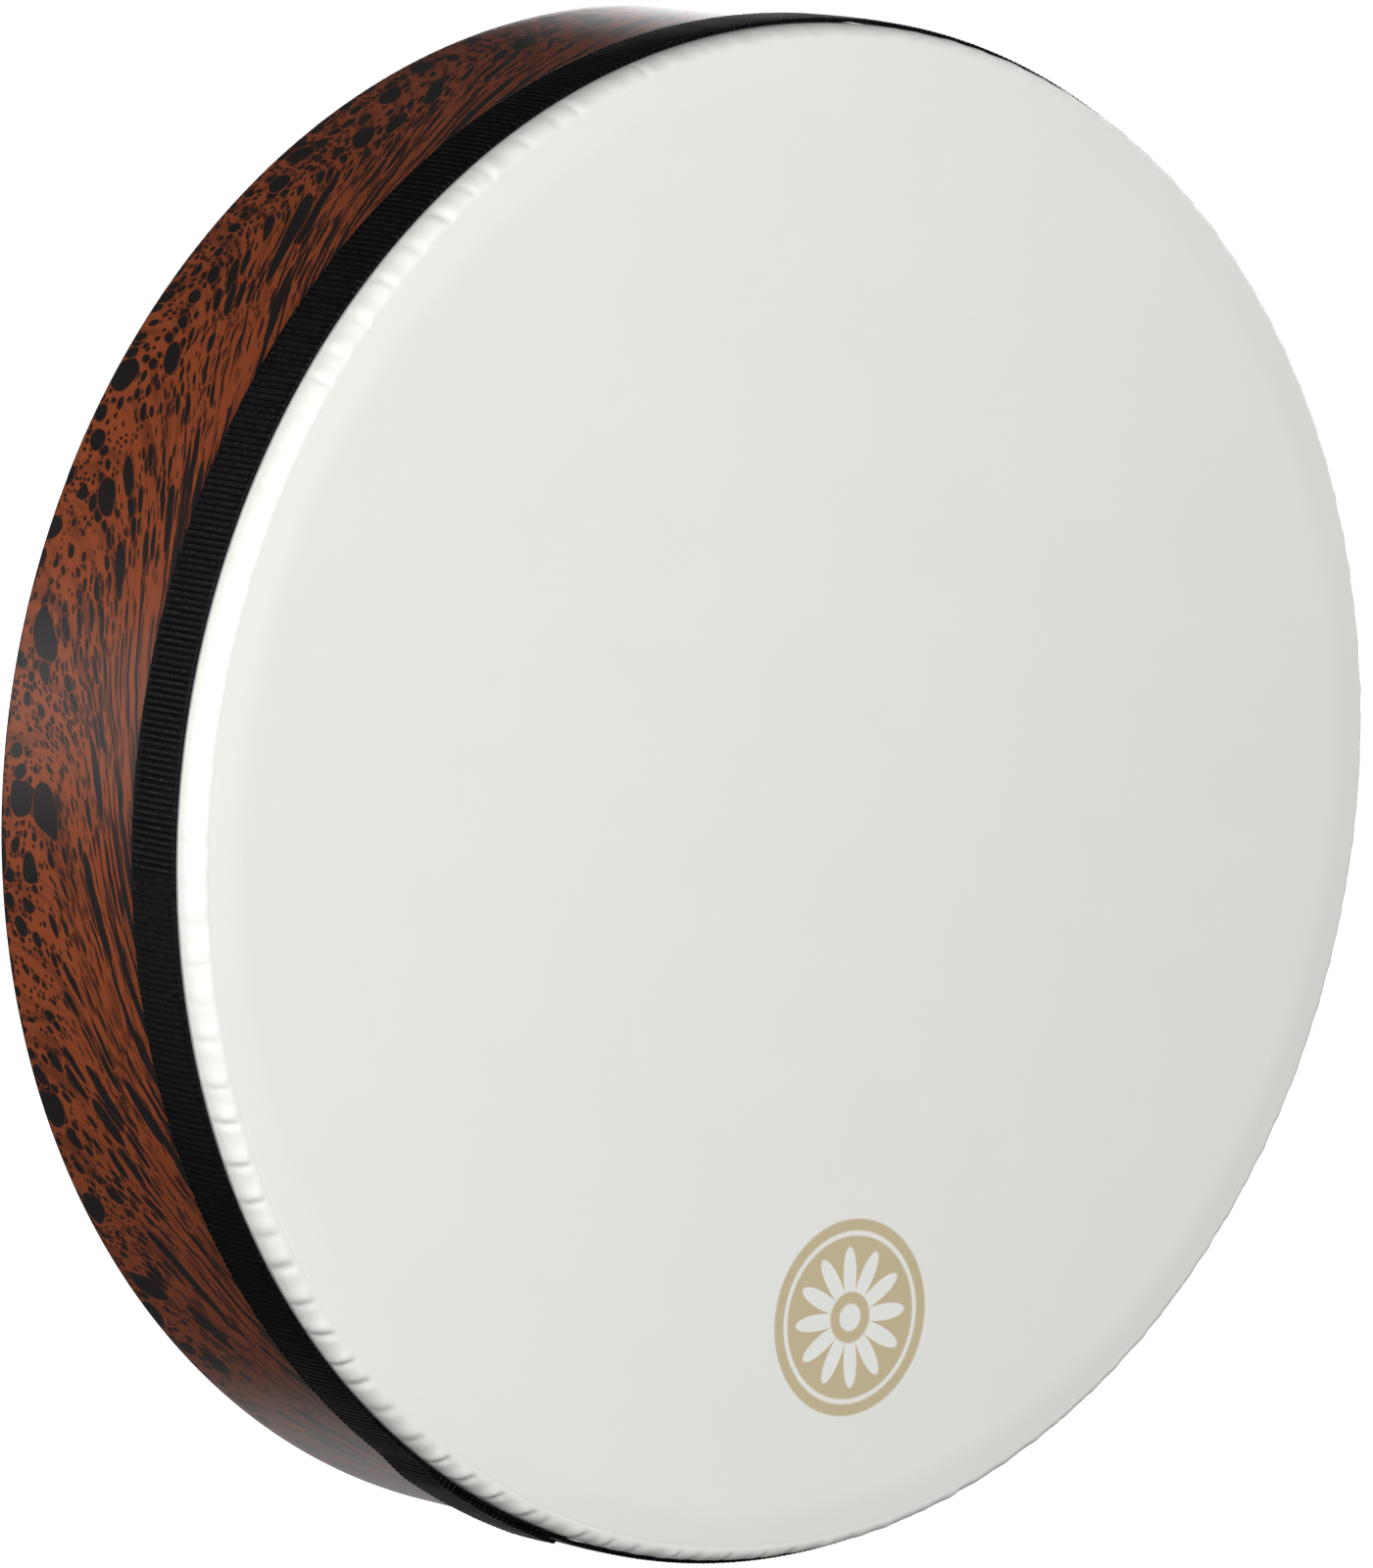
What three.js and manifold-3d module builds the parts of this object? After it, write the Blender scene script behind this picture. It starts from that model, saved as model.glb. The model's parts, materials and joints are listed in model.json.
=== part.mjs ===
// A tunable frame drum, 18 inches across and 3 3/4 inches deep, standing upright on its rim.
// Millimetres, +Z up. The drum's axis runs along Y and its head faces -Y; the origin is under the middle
// of the drum, on the surface that it stands on. Depths are measured from the open back rim to the head.
import * as THREE from 'three';
import * as BufferGeometryUtils from 'three/addons/utils/BufferGeometryUtils.js';
import Module from 'manifold-3d';

// ---- driving dimensions ----
const SHELL_RADIUS = 228.6; // 18 inches across
const DRUM_DEPTH = 95.25; // back rim to playing surface, 3 3/4 inches
const SHELL_WALL = 8;
const SHELL_DEPTH = 93;
const RIM_ROUND = 2; // rounding of the shell's back edges
const FRONT_ROUND = 3; // rounding under the turned-over head
const GAP = 0.3; // between pieces that touch
const PAST = 2; // how far a cutting shape runs past what it cuts

const HEAD_THICK = 0.5;
const MEMBRANE_RADIUS = 219.9;
const SKIRT_START_RADIUS = 220.5;
const HEAD_SLOPE = 7.9; // degrees that the head falls from the tuning ring out to the shell's edge
const SKIRT_END_DEPTH = 68; // hidden under the band

const BAND_WIDTH = 20; // black webbing
const BAND_THICK = 1.5;
const BAND_START_DEPTH = 65;
const BAND_LAP_ANGLE = 247.5; // degrees round from +X to the outer end, which is lapped over the beginning
const BAND_LAP_SWEEP = 11.25; // degrees of overlap, so that the band's flats lie on the shell's
const BAND_RAMP_SWEEP = 5; // degrees over which the outer end climbs
const BAND_RAMP_END = 0.5; // degrees before the band's beginning at which the climb is done

const RING_WALL = 8; // tuning ring, inside the shell
const RING_CLEARANCE = 1.2;
const RING_BACK_DEPTH = 72;
const RING_CHAMFER = 0.5; // on its back edges

const LUG_COUNT = 8;
const LUG_FIRST_ANGLE = 22.5; // degrees, so that the bottom of the rim is free for the hand
const LUG_BACK_DEPTH = 44;
const LUG_LENGTH = 14;
const LUG_BODY_WIDTH = 13;
const LUG_EAR_SPAN = 34;
const LUG_EAR_THICK = 3;
const LUG_INNER_RADIUS = 209.4;
const LUG_CHAMFER = 1.5;

const BOLT_RADIUS = 2.5; // M5 socket cap screw
const BOLT_HEAD_RADIUS = 4.25;
const BOLT_HEAD_LENGTH = 5;
const BOLT_HEAD_DEPTH = 29;
const BOLT_TIP_DEPTH = 69.5;
const SOCKET_ACROSS_FLATS = 4;
const SOCKET_DEPTH = 2.5;
const BOLT_CHAMFER = 0.4;

const CUP_LENGTH = 5;
const CUP_CHAMFER = 0.4;
const SCREW_OFFSET = 12; // each side of the bolt
const SCREW_RADIUS = 1.4;
const SCREW_BITE = 5.5; // into the shell
const SCREW_HEAD_RADIUS = 2.9;
const SCREW_HEAD_LENGTH = 1.8;
const SCREW_HEAD_TOP = 0.6; // the flat top, as a share of the head's radius
const SCREW_HEAD_DOME = 0.55; // the domed part, as a share of the head's length
const SCREW_POINT = 1.5;

// ---- worked-out places ----
const SEGMENTS = 80; // a flat faces each of +X, -X, +Z and -Z, and each lug
const FLAT = Math.cos(Math.PI / SEGMENTS);
const shellInner = SHELL_RADIUS - SHELL_WALL;
const skirtOuter = SHELL_RADIUS + GAP + HEAD_THICK;
const bandInner = skirtOuter + GAP;
const bandOuter = bandInner + BAND_THICK;
const ringOuter = shellInner - RING_CLEARANCE;
const ringInner = ringOuter - RING_WALL;
const ringMiddle = (ringOuter + ringInner) / 2; // the bolts push here
const ringNoseDepth = DRUM_DEPTH - HEAD_THICK - GAP;
const axisHeight = bandOuter * FLAT;
const across = (depth) => DRUM_DEPTH / 2 - depth; // depth from the back rim to a Y coordinate
const headFall = (radius) => (radius - ringMiddle) * Math.tan(THREE.MathUtils.degToRad(HEAD_SLOPE));

const wasm = await Module();
wasm.setup();

const materials = {
  burl: new THREE.MeshStandardMaterial({ color: 0x6b3018, roughness: 0.45, metalness: 0 }),
  head: new THREE.MeshStandardMaterial({ color: 0xe4e5e0, roughness: 0.5, metalness: 0 }),
  webbing: new THREE.MeshStandardMaterial({ color: 0x121214, roughness: 0.8, metalness: 0 }),
  maple: new THREE.MeshStandardMaterial({ color: 0xc9a873, roughness: 0.5, metalness: 0 }),
  castAlloy: new THREE.MeshStandardMaterial({ color: 0x1b1b1d, roughness: 0.45, metalness: 0.6 }),
  zincSteel: new THREE.MeshStandardMaterial({ color: 0xb9bcc0, roughness: 0.3, metalness: 1 }),
  nylon: new THREE.MeshStandardMaterial({ color: 0xe9e6da, roughness: 0.4, metalness: 0 }),
};

// ---- geometry helpers ----
function toSolid(geometry) {
  const bare = geometry.clone();
  bare.deleteAttribute('normal');
  bare.deleteAttribute('uv');
  const merged = BufferGeometryUtils.mergeVertices(bare, 1e-3);
  return new wasm.Manifold(new wasm.Mesh({
    numProp: 3,
    vertProperties: new Float32Array(merged.attributes.position.array),
    triVerts: new Uint32Array(merged.index.array),
  }));
}

function toGeometry(solid) {
  const mesh = solid.getMesh();
  const geometry = new THREE.BufferGeometry();
  geometry.setAttribute('position', new THREE.BufferAttribute(mesh.vertProperties, 3));
  geometry.setIndex(new THREE.BufferAttribute(mesh.triVerts, 1));
  geometry.computeVertexNormals();
  return geometry;
}

// A closed profile of [radius, depth] pairs turned about the drum's axis, with a flat at each quarter.
// It runs so that depth falls along its outer side, because depth runs against Y.
function turned(profile, segments = SEGMENTS) {
  const points = profile.map(([radius, depth]) => new THREE.Vector2(radius, across(depth)));
  return new THREE.LatheGeometry(points, segments, -Math.PI / segments, 2 * Math.PI);
}

// Points of a round corner from one angle to another, in degrees, in the radius and depth plane.
function corner(radius, depth, round, from, to, steps = 3) {
  return Array.from({ length: steps + 1 }, (_, i) => {
    const angle = THREE.MathUtils.degToRad(from + ((to - from) * i) / steps);
    return [radius + round * Math.cos(angle), depth + round * Math.sin(angle)];
  });
}

// A plain cylinder along the drum's radius, from one radius to another, at a tangential offset.
function radialCylinder(radius, from, to, offset, depth, sides) {
  const geometry = new THREE.CylinderGeometry(radius, radius, to - from, sides);
  geometry.rotateZ(-Math.PI / 2);
  geometry.translate((from + to) / 2, across(depth), offset);
  return geometry;
}

const lugAngles = Array.from({ length: LUG_COUNT }, (_, i) => LUG_FIRST_ANGLE + (360 / LUG_COUNT) * i);

// Turns a piece that was drawn on the +X side of the axis to its own place round the drum.
function turnTo(object, degrees) {
  object.rotation.y = -THREE.MathUtils.degToRad(degrees);
  return object;
}

// ---- sub-parts ----
const screwDepth = LUG_BACK_DEPTH + LUG_LENGTH / 2;

function shellGeometry() {
  const hoop = turned([
    ...corner(shellInner + RIM_ROUND, RIM_ROUND, RIM_ROUND, 180, 270),
    ...corner(SHELL_RADIUS - RIM_ROUND, RIM_ROUND, RIM_ROUND, 270, 360),
    ...corner(SHELL_RADIUS - FRONT_ROUND, SHELL_DEPTH - FRONT_ROUND, FRONT_ROUND, 0, 90),
    [shellInner + 1, SHELL_DEPTH],
    [shellInner, SHELL_DEPTH - 1],
    [shellInner, RIM_ROUND],
  ].reverse());
  let solid = toSolid(hoop);
  for (const angle of lugAngles) {
    for (const side of [-1, 1]) {
      const hole = radialCylinder(SCREW_RADIUS + GAP, shellInner - PAST, shellInner + SCREW_BITE + GAP,
        side * SCREW_OFFSET, screwDepth, 8);
      hole.rotateY(-THREE.MathUtils.degToRad(angle));
      solid = solid.subtract(toSolid(hole));
    }
  }
  return toGeometry(solid);
}

function membraneGeometry() {
  const back = DRUM_DEPTH - HEAD_THICK;
  const edgeFall = headFall(MEMBRANE_RADIUS);
  return turned([
    [0, DRUM_DEPTH],
    [ringMiddle, DRUM_DEPTH],
    [MEMBRANE_RADIUS, DRUM_DEPTH - edgeFall],
    [MEMBRANE_RADIUS, back - edgeFall],
    [ringMiddle, back],
    [0, back],
  ]);
}

function skirtGeometry() {
  const outerRound = FRONT_ROUND + GAP + HEAD_THICK;
  const innerRound = FRONT_ROUND + GAP;
  const centreRadius = SHELL_RADIUS - FRONT_ROUND;
  const centreDepth = SHELL_DEPTH - FRONT_ROUND;
  const startDepth = DRUM_DEPTH - headFall(SKIRT_START_RADIUS);
  const crease = 90 - HEAD_SLOPE;
  return turned([
    [SKIRT_START_RADIUS, startDepth],
    ...corner(centreRadius, centreDepth, outerRound, crease, 0, 4),
    [skirtOuter, SKIRT_END_DEPTH],
    [skirtOuter - HEAD_THICK, SKIRT_END_DEPTH],
    ...corner(centreRadius, centreDepth, innerRound, 0, crease, 4),
    [SKIRT_START_RADIUS, startDepth - HEAD_THICK],
    [SKIRT_START_RADIUS, startDepth],
  ]);
}

// A strip once round the drum and a little further, whose outer end climbs onto its beginning.
function bandGeometry() {
  const step = 360 / SEGMENTS;
  const start = BAND_LAP_ANGLE - BAND_LAP_SWEEP;
  const sweep = 360 + BAND_LAP_SWEEP;
  const climb = BAND_THICK + GAP;
  const rampStart = 360 - BAND_RAMP_SWEEP;
  const rampEnd = 360 - BAND_RAMP_END;
  const liftAt = (turn) => climb * THREE.MathUtils.smoothstep(turn, rampStart, rampEnd);
  const turns = [];
  for (let turn = 0; turn < sweep; turn += step / 2) turns.push(turn);
  turns.push(sweep);
  const onFlats = turns.filter((turn, i) => i % 2 === 0 || turn > 360 - 2 * step);
  const place = (radius, turn) => {
    const angle = THREE.MathUtils.degToRad(start + turn);
    return new THREE.Vector2(radius * Math.cos(angle), radius * Math.sin(angle));
  };
  const inner = onFlats.map((turn) => place(bandInner + liftAt(turn), turn));
  const outer = onFlats.map((turn) => place(bandOuter + liftAt(turn), turn)).reverse();
  const geometry = new THREE.ExtrudeGeometry(new THREE.Shape([...inner, ...outer]), {
    depth: BAND_WIDTH,
    bevelEnabled: false,
  });
  geometry.rotateX(Math.PI / 2); // the outline's Y becomes the drum's Z
  geometry.translate(0, across(BAND_START_DEPTH), 0);
  return geometry;
}

function ringGeometry() {
  const nose = RING_WALL / 2;
  return turned([
    [ringInner + RING_CHAMFER, RING_BACK_DEPTH],
    [ringOuter - RING_CHAMFER, RING_BACK_DEPTH],
    [ringOuter, RING_BACK_DEPTH + RING_CHAMFER],
    ...corner(ringMiddle, ringNoseDepth - nose, nose, 0, 180, 6),
    [ringInner, RING_BACK_DEPTH + RING_CHAMFER],
    [ringInner + RING_CHAMFER, RING_BACK_DEPTH],
  ].reverse());
}

// The lug is drawn on the +X side: a body round the bolt and two ears that lie on the shell's wall.
function lugGeometry() {
  const back = shellInner + PAST; // the back is cut to the shell's curve further on
  const earInner = shellInner - GAP - LUG_EAR_THICK;
  const halfBody = LUG_BODY_WIDTH / 2;
  const halfSpan = LUG_EAR_SPAN / 2;
  const outline = new THREE.Shape();
  outline.moveTo(back, -halfSpan);
  outline.lineTo(back, halfSpan);
  outline.lineTo(earInner, halfSpan);
  outline.lineTo(earInner, halfBody + LUG_CHAMFER);
  outline.lineTo(earInner - LUG_CHAMFER, halfBody);
  outline.lineTo(LUG_INNER_RADIUS + LUG_CHAMFER, halfBody);
  outline.lineTo(LUG_INNER_RADIUS, halfBody - LUG_CHAMFER);
  outline.lineTo(LUG_INNER_RADIUS, -halfBody + LUG_CHAMFER);
  outline.lineTo(LUG_INNER_RADIUS + LUG_CHAMFER, -halfBody);
  outline.lineTo(earInner - LUG_CHAMFER, -halfBody);
  outline.lineTo(earInner, -halfBody - LUG_CHAMFER);
  outline.lineTo(earInner, -halfSpan);
  outline.closePath();
  const block = new THREE.ExtrudeGeometry(outline, { depth: LUG_LENGTH, bevelEnabled: false });
  block.rotateX(Math.PI / 2);
  block.translate(0, across(LUG_BACK_DEPTH), 0);

  const bore = new THREE.CylinderGeometry(BOLT_RADIUS + GAP, BOLT_RADIUS + GAP, 2 * LUG_LENGTH, 16);
  bore.translate(ringMiddle, across(screwDepth), 0);
  const wall = turned([
    [shellInner - GAP, 0],
    [shellInner + SHELL_WALL, 0],
    [shellInner + SHELL_WALL, DRUM_DEPTH],
    [shellInner - GAP, DRUM_DEPTH],
    [shellInner - GAP, 0],
  ].reverse());
  let solid = toSolid(block).subtract(toSolid(wall)).subtract(toSolid(bore));
  for (const side of [-1, 1]) {
    const hole = radialCylinder(SCREW_RADIUS + GAP, earInner - 2 * PAST, shellInner + PAST,
      side * SCREW_OFFSET, screwDepth, 10);
    solid = solid.subtract(toSolid(hole));
  }
  return toGeometry(solid);
}

// The bolt stands on its own axis here, and is moved out to the lug's bore afterwards.
function boltGeometry() {
  const headFront = BOLT_HEAD_DEPTH + BOLT_HEAD_LENGTH;
  const body = turned([
    [0, BOLT_TIP_DEPTH],
    [BOLT_RADIUS - BOLT_CHAMFER, BOLT_TIP_DEPTH],
    [BOLT_RADIUS, BOLT_TIP_DEPTH - BOLT_CHAMFER],
    [BOLT_RADIUS, headFront],
    [BOLT_HEAD_RADIUS, headFront],
    [BOLT_HEAD_RADIUS, BOLT_HEAD_DEPTH + BOLT_CHAMFER],
    [BOLT_HEAD_RADIUS - BOLT_CHAMFER, BOLT_HEAD_DEPTH],
    [0, BOLT_HEAD_DEPTH],
  ], 16);
  const socketRadius = SOCKET_ACROSS_FLATS / Math.sqrt(3);
  const socket = new THREE.CylinderGeometry(socketRadius, socketRadius, 2 * SOCKET_DEPTH, 6);
  socket.translate(0, across(BOLT_HEAD_DEPTH), 0);
  return toGeometry(toSolid(body).subtract(toSolid(socket)));
}

function cupGeometry() {
  const front = RING_BACK_DEPTH - GAP;
  const outer = RING_WALL / 2;
  const bore = BOLT_RADIUS + GAP;
  const floor = BOLT_TIP_DEPTH + GAP;
  return turned([
    [0, front],
    [outer - CUP_CHAMFER, front],
    [outer, front - CUP_CHAMFER],
    [outer, front - CUP_LENGTH],
    [bore, front - CUP_LENGTH],
    [bore, floor],
    [0, floor],
  ], 16);
}

// A pan-head wood screw along the radius on the +X side, its head towards the drum's axis.
function screwGeometry() {
  const earInner = shellInner - GAP - LUG_EAR_THICK;
  const seat = earInner * FLAT - GAP;
  const top = seat - SCREW_HEAD_LENGTH;
  const tip = shellInner + SCREW_BITE;
  const profile = [
    [0, top],
    [SCREW_HEAD_RADIUS * SCREW_HEAD_TOP, top],
    [SCREW_HEAD_RADIUS, top + SCREW_HEAD_LENGTH * SCREW_HEAD_DOME],
    [SCREW_HEAD_RADIUS, seat],
    [SCREW_RADIUS, seat],
    [SCREW_RADIUS, tip - SCREW_POINT],
    [0, tip],
  ].map(([radius, along]) => new THREE.Vector2(radius, along));
  const geometry = new THREE.LatheGeometry(profile, 10);
  geometry.rotateZ(-Math.PI / 2); // the screw's length lies along +X
  return geometry;
}

// ---- assembly ----
function named(name, geometry, material) {
  const mesh = new THREE.Mesh(geometry, material);
  mesh.name = name;
  return mesh;
}

const drum = new THREE.Group();
drum.position.z = axisHeight;

drum.add(named('shell', shellGeometry(), materials.burl));
drum.add(named('head_membrane', membraneGeometry(), materials.head));
drum.add(named('head_skirt', skirtGeometry(), materials.head));
drum.add(named('edge_band', bandGeometry(), materials.webbing));
drum.add(named('tuning_ring', ringGeometry(), materials.maple));

const lugShape = lugGeometry();
const boltShape = boltGeometry();
const cupShape = cupGeometry();
const screwShape = screwGeometry();

lugAngles.forEach((angle, i) => {
  const station = turnTo(new THREE.Group(), angle);
  const number = i + 1;
  station.add(named(`tuning_lug_${number}`, lugShape, materials.castAlloy));
  const bolt = named(`tuning_bolt_${number}`, boltShape, materials.zincSteel);
  const cup = named(`thrust_cup_${number}`, cupShape, materials.nylon);
  for (const piece of [bolt, cup]) {
    piece.position.x = ringMiddle;
    station.add(piece);
  }
  ['a', 'b'].forEach((letter, side) => {
    const screw = named(`lug_screw_${number}${letter}`, screwShape, materials.zincSteel);
    screw.position.set(0, across(screwDepth), (side ? 1 : -1) * SCREW_OFFSET);
    station.add(screw);
  });
  drum.add(station);
});

const model = new THREE.Group();
model.add(drum);

export default model;
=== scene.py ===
"""A tunable frame drum: burl-faced hoop, white film head, black webbing and the tuning gear inside.

It is written as a Blender add-on and run as a script. The drum's axis runs along Y, its head faces -Y and
it stands on its rim. Depths are measured from the open back rim towards the head, in metres.
"""

import json
import math
from functools import partial

import bmesh
import bpy
import numpy as np
from bpy.props import FloatProperty, FloatVectorProperty, IntProperty, PointerProperty
from mathutils import Matrix, Vector


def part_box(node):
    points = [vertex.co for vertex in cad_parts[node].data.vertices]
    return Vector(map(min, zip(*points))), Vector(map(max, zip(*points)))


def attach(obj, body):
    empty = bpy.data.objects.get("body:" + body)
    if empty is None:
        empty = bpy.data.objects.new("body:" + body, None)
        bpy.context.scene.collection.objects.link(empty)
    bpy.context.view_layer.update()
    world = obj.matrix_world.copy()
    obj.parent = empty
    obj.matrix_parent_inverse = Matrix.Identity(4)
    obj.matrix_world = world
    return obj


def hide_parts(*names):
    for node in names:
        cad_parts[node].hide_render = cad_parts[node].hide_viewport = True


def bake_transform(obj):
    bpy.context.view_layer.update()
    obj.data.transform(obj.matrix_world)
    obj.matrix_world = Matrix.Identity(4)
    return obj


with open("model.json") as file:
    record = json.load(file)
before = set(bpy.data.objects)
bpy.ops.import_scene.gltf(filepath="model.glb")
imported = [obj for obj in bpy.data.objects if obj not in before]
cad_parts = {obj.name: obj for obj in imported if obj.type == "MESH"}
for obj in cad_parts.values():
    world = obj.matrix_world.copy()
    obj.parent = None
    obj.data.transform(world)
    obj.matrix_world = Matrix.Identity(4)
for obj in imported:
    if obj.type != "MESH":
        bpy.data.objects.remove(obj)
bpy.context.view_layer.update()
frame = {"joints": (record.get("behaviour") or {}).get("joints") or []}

bl_info = {
    "name": "Tunable frame drum",
    "version": (1, 0, 0),
    "blender": (4, 5, 0),
    "location": "3D View > Sidebar > Frame drum",
    "description": "Builds the fine surfaces and finishes of a frame drum around its packed frame",
    "category": "Add Mesh",
}

MM = 0.001

# ---- places taken from the frame ----
shell_low, shell_high = (Vector(corner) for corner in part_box("shell"))
AXIS_Z = (shell_low.z + shell_high.z) / 2
BACK_Y = shell_high.y


def reach_of(node):
    """A frame node's two depths, the one nearer the back rim first, and how far it reaches to the right."""
    low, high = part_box(node)
    return BACK_Y - high[1], BACK_Y - low[1], high[0]


SHELL_D, SHELL_R = reach_of("shell")[1:]  # the circle inside the frame's flats
SKIRT_D, _, SKIRT_R = reach_of("head_skirt")
DEPTH = reach_of("head_membrane")[1]
BAND_D0, BAND_D1, _ = reach_of("edge_band")
BAND_R = AXIS_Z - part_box("edge_band")[0][2]
RING_D0, RING_D1, RING_R = reach_of("tuning_ring")
LUG_D0, LUG_D1, _ = reach_of("tuning_lug_1")
CUP_D0, CUP_D1, _ = reach_of("thrust_cup_1")
BOLT_D0, BOLT_D1, _ = reach_of("tuning_bolt_1")
SCREW_D = sum(reach_of("lug_screw_1a")[:2]) / 2

bolt_joints = sorted((j for j in frame["joints"] if j["type"] == "hinge"), key=lambda j: j["name"])
bolt_angles = [math.atan2(j["pos_m"][2] - AXIS_Z, j["pos_m"][0]) for j in bolt_joints]
BOLT_CIRCLE_R = math.hypot(bolt_joints[0]["pos_m"][0], bolt_joints[0]["pos_m"][2] - AXIS_Z)

# ---- sizes that the frame doesn't state ----
SHELL_WALL = 8 * MM
RIM_ROUND = 2 * MM
FRONT_ROUND = 3.6 * MM
ROLL_DEPTH = 7 * MM  # along the axis, of the film's soft roll over the shell's edge
HIDDEN_ROUND = 6 * MM  # the shell's front corner, under the film, with room for the pleats
HIDDEN_REACH = 12 * MM  # along the axis, of that corner
RING_WALL = 8 * MM
HEAD_SLOPE = math.radians(7.9)  # fall of the film from the tuning ring to the shell's edge
LAP_END = math.radians(247.5)  # where the webbing's outer end lies on its beginning
LAP_SWEEP = math.radians(11.25)
LAP_RAMP = math.radians(4)  # over which the outer end climbs
PULL_ANGLE = math.radians(224)  # where the film was pulled hardest, at the lower left
BOLT_R = 2.5 * MM
BOLT_HEAD_R = 4.25 * MM
BOLT_HEAD_L = 5 * MM
BOLT_PITCH = 0.8 * MM
SCREW_OFFSET = 12 * MM
SCREW_HEAD_R = 2.9 * MM
SCREW_HEAD_L = 1.8 * MM
EAR_THICKNESS = 3.2 * MM  # of the lugs' ears, under the screws' heads
CLEARANCE = 0.3 * MM  # round a bolt in its lug and its cup
SMOOTH_LIMIT = math.radians(32)  # sharper edges than this are shaded as edges


def linear(hex_colour):
    """An sRGB hex colour as linear red, green and blue."""
    parts = [int(hex_colour[i : i + 2], 16) / 255 for i in (0, 2, 4)]
    return tuple(c / 12.92 if c <= 0.04045 else ((c + 0.055) / 1.055) ** 2.4 for c in parts)


def colour_prop(name, description, hex_colour):
    return FloatVectorProperty(
        name=name, description=description, subtype="COLOR", size=3, min=0, max=1, default=linear(hex_colour)
    )


def length_prop(name, description, metres):
    return FloatProperty(
        name=name, description=description, unit="LENGTH", min=0, default=metres, precision=5
    )


class DrumSizes(bpy.types.PropertyGroup):
    """Sizes of the fine surfaces."""

    film_thickness: length_prop("Film thickness", "Thickness of the drumhead's film", 0.4 * MM)
    pleat_spacing: length_prop("Pleat spacing", "From one pleat of the film to the next", 12.4 * MM)
    pleat_depth: length_prop("Pleat depth", "How deep a strong pleat is", 0.95 * MM)
    rib_pitch: length_prop("Rib pitch", "From one rib of the webbing to the next", 2.0 * MM)
    rib_height: length_prop("Rib height", "Height of the webbing's ribs", 0.32 * MM)
    burl_cell: length_prop("Burl cell", "Spacing of the burl's largest eyes", 16 * MM)
    print_radius: length_prop("Print radius", "Radius of the round print on the head", 29.8 * MM)
    print_x: length_prop("Print offset", "How far the print lies to the right of the middle", 17.3 * MM)
    print_drop: length_prop("Print drop", "How far the print lies below the middle", 158.6 * MM)
    print_petals: IntProperty(name="Petals", description="Petals in the print's rosette", default=12, min=3)


class DrumColours(bpy.types.PropertyGroup):
    """Colours of the finishes."""

    burl_ground: colour_prop("Burl ground", "Orange-brown ground of the burl figure", "7C3A1C")
    burl_shade: colour_prop("Burl shade", "Darker brown of the ground", "4C2210")
    burl_eye: colour_prop("Burl eye", "Charcoal of the burl's eyes and streaks", "151011")
    inner_wood: colour_prop("Inner wood", "Stained wood inside the shell", "4A2A1D")
    film: colour_prop("Film", "Coated white film", "E6E7E2")
    print_ink: colour_prop("Print ink", "Tan ink of the print", "C2B493")
    webbing: colour_prop("Webbing", "Black yarn of the webbing", "050506")
    maple: colour_prop("Maple", "Ply of the tuning ring", "C8A673")
    powder: colour_prop("Powder coat", "Powder coat of the lugs", "1B1B1D")
    zinc: colour_prop("Zinc", "Bright zinc plating", "C9CCD0")
    zinc_shade: colour_prop("Zinc shade", "Duller clouds in the plating", "9FA3A8")
    nylon: colour_prop("Nylon", "Natural nylon of the cups", "E4E0D2")
    floor: colour_prop("Floor", "Pale floor", "A8A8A8")


# ---- materials ----
def fill(node, *values, **named):
    """Sets or links a node's sockets: plain values go to its sockets in order, and the others go by name."""
    in_use = [socket for socket in node.inputs if socket.enabled]
    pairs = list(zip(in_use, values))
    pairs += [(node.inputs[name.replace("_", " ")], value) for name, value in named.items()]
    for socket, value in pairs:
        if isinstance(value, bpy.types.NodeSocket):
            node.id_data.links.new(value, socket)
        elif socket.type == "RGBA":
            socket.default_value = (*value[:3], 1)
        else:
            socket.default_value = value


def add_node(tree, kind, *values, out=0, stops=(), **named):
    """Adds a node and gives one of its outputs. A name with a capital is a socket; any other is a setting.

    Stops are the (place, colour) pairs of a colour ramp.
    """
    node = tree.nodes.new("ShaderNode" + kind)
    for name, value in named.items():
        if name.islower():
            setattr(node, name, value)
    fill(node, *values, **{name: value for name, value in named.items() if not name.islower()})
    for number, (place, colour) in enumerate(stops):
        elements = node.color_ramp.elements
        element = elements[number] if number < len(elements) else elements.new(1.0)
        element.position = place
        element.color = (*colour, 1)
    if isinstance(out, str):
        return node.outputs[out]
    return [socket for socket in node.outputs if socket.enabled][out]


def new_material(name, **shader):
    """A material, the function that adds a node to it, and its Principled shader, with its plain values set
    on its own sockets."""
    material = bpy.data.materials.new(name)
    material.use_nodes = True
    principled = material.node_tree.nodes["Principled BSDF"]
    fill(principled, **shader)
    return material, partial(add_node, material.node_tree), principled


def shade(colour, share):
    """A colour made darker or lighter by a share of itself."""
    return tuple(min(1, share * part) for part in colour)


def drum_coordinates(add):
    """Places in millimetres: right of the drum's axis, above it, and deep from the back rim."""
    parts = add("SeparateXYZ", add("TexCoord", out="Object")).node.outputs
    x = add("Math", parts["X"], 1 / MM, operation="MULTIPLY")
    z = add("Math", parts["Z"], 1 / MM, -AXIS_Z / MM, operation="MULTIPLY_ADD")
    depth = add("Math", parts["Y"], -1 / MM, BACK_Y / MM, operation="MULTIPLY_ADD")
    return x, z, depth


def round_drum(add, x, z, radius):
    """How far a point lies round the drum at a radius in millimetres; the pattern's joint is underneath."""
    return add("Math", add("Math", x, z, operation="ARCTAN2"), radius, operation="MULTIPLY")


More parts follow.
